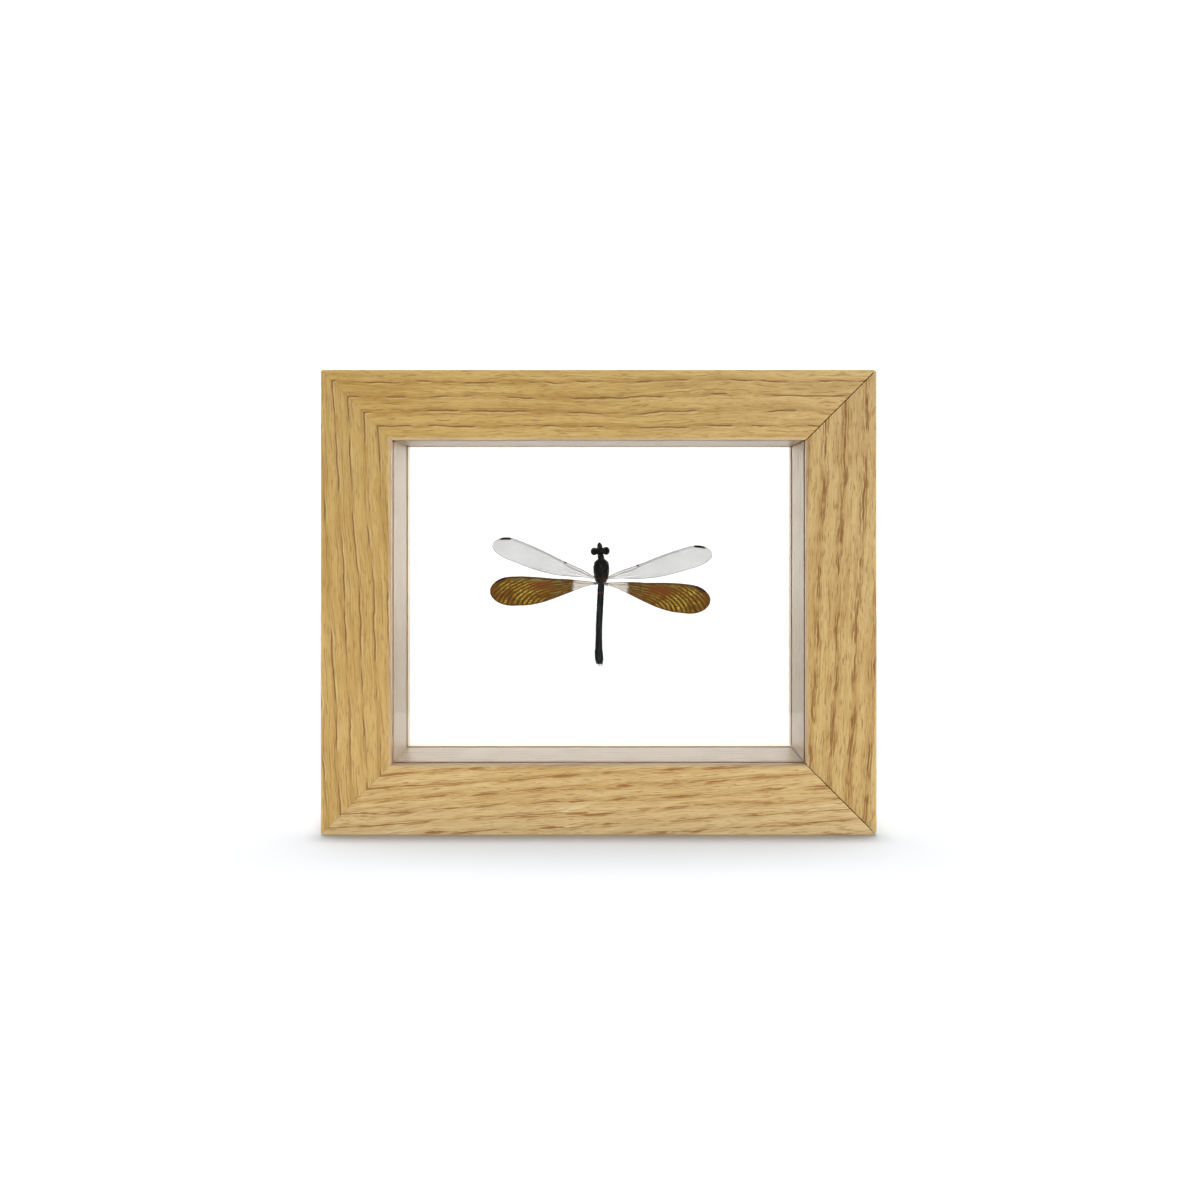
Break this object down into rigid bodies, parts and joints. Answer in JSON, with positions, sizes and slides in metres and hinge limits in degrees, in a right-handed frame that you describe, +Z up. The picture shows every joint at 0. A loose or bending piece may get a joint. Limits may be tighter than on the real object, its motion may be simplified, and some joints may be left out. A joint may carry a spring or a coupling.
{
  "type": "framed dragonfly specimen",
  "caption": "Spread damselfly held between the panes of a see-through wooden frame that stands on a shelf or desk.",
  "frame": {"origin": "middle of the frame's footprint, on the surface that it stands on", "axes": "+X to the right as the front is seen, +Y from the front to the back, +Z up"},
  "size_m": [0.12, 0.03, 0.1005],
  "materials": {
    "oak": "pale oak grain, satin",
    "clear_glass": "clear float glass",
    "chitin": "dry insect cuticle, black",
    "clear_glue": "clear set glue",
    "nail_steel": "bright steel strip"
  },
  "bodies": {
    "root": {"rail_top": "oak", "rail_bottom": "oak", "rail_left": "oak", "rail_right": "oak", "glass_front": "clear_glass", "glass_back": "clear_glass", "damselfly": "chitin", "glue_dot": "clear_glue", "v_nail_top_left": "nail_steel", "v_nail_top_right": "nail_steel", "v_nail_bottom_left": "nail_steel", "v_nail_bottom_right": "nail_steel"}
  },
  "joints": []
}
